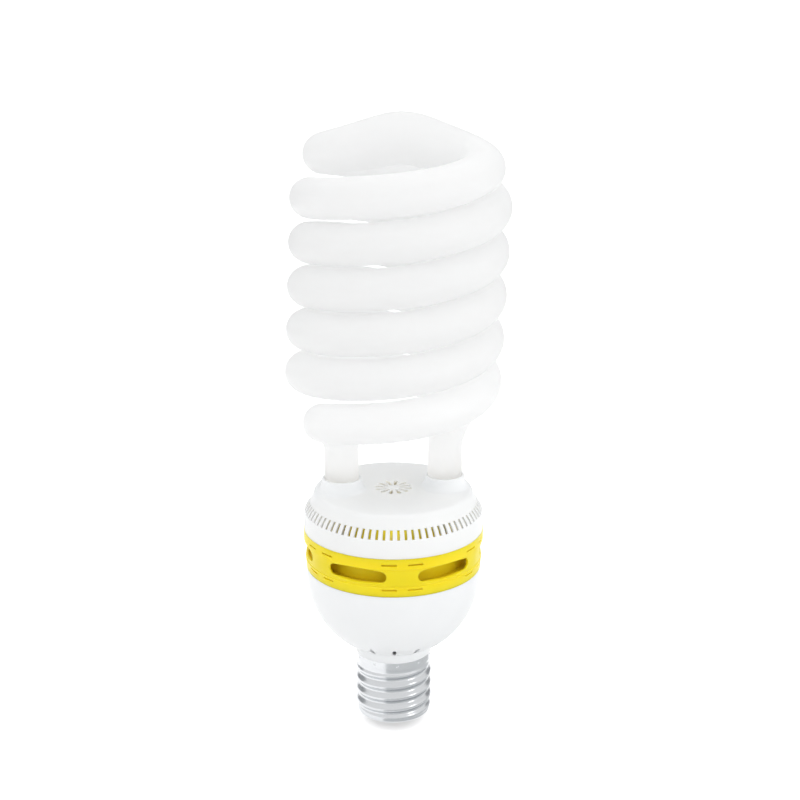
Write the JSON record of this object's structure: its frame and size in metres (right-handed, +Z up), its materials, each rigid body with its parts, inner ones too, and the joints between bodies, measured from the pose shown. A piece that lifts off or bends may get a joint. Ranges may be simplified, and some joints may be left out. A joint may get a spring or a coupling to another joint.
{
  "type": "spiral fluorescent lamp",
  "caption": "Spiral fluorescent lamp: a white glass tube wound as a double helix on a vented plastic ballast housing with a yellow ring, above a screw cap.",
  "frame": {"origin": "centre of the flat face of the centre contact, at the bottom of the cap", "axes": "+Z up the axis from the cap to the coil, the legs of the glass tube on X, -Y the front"},
  "size_m": [0.1106, 0.107, 0.3164],
  "materials": {
    "coated_glass": "gloss",
    "white_plastic": "satin",
    "yellow_plastic": "satin",
    "nickel": "polished",
    "black_glass": "gloss",
    "contact_brass": "tinned",
    "cement": "matte",
    "board_laminate": "matte",
    "capacitor_sleeve": "satin",
    "ferrite": "matte",
    "bobbin_plastic": "matte",
    "copper_wire": "enamelled",
    "epoxy": "matte",
    "sink_aluminium": "bare",
    "film_coating": "gloss",
    "resistor_paint": "matte",
    "diac_glass": "gloss",
    "tinned_steel": "tinned",
    "red_insulation": "satin",
    "blue_insulation": "satin"
  },
  "bodies": {
    "root": {"discharge_tube": "coated_glass", "upper_cover": "white_plastic", "lower_bowl": "white_plastic", "vent_ring": "yellow_plastic", "screw_shell": "nickel", "cap_insulator": "black_glass", "centre_contact": "contact_brass", "socket_cement_left": "cement", "socket_cement_right": "cement", "circuit_board": "board_laminate", "filter_capacitor_left": "capacitor_sleeve", "filter_capacitor_right": "capacitor_sleeve", "choke_core": "ferrite", "drive_toroid": "ferrite", "input_choke_core": "ferrite", "choke_bobbin": "bobbin_plastic", "choke_winding": "copper_wire", "drive_winding": "copper_wire", "input_choke_winding": "copper_wire", "transistor_front": "epoxy", "transistor_back": "epoxy", "rectifier_diode_1": "epoxy", "rectifier_diode_2": "epoxy", "rectifier_diode_3": "epoxy", "rectifier_diode_4": "epoxy", "heat_sink": "sink_aluminium", "resonant_capacitor": "film_coating", "coupling_capacitor": "film_coating", "fuse_resistor": "resistor_paint", "start_diac": "diac_glass", "wrap_pin_1": "tinned_steel", "wrap_pin_2": "tinned_steel", "wrap_pin_3": "tinned_steel", "wrap_pin_4": "tinned_steel", "tube_lead_1": "tinned_steel", "tube_lead_2": "tinned_steel", "tube_lead_3": "tinned_steel", "tube_lead_4": "tinned_steel", "live_wire": "red_insulation", "neutral_wire": "blue_insulation"}
  },
  "joints": []
}
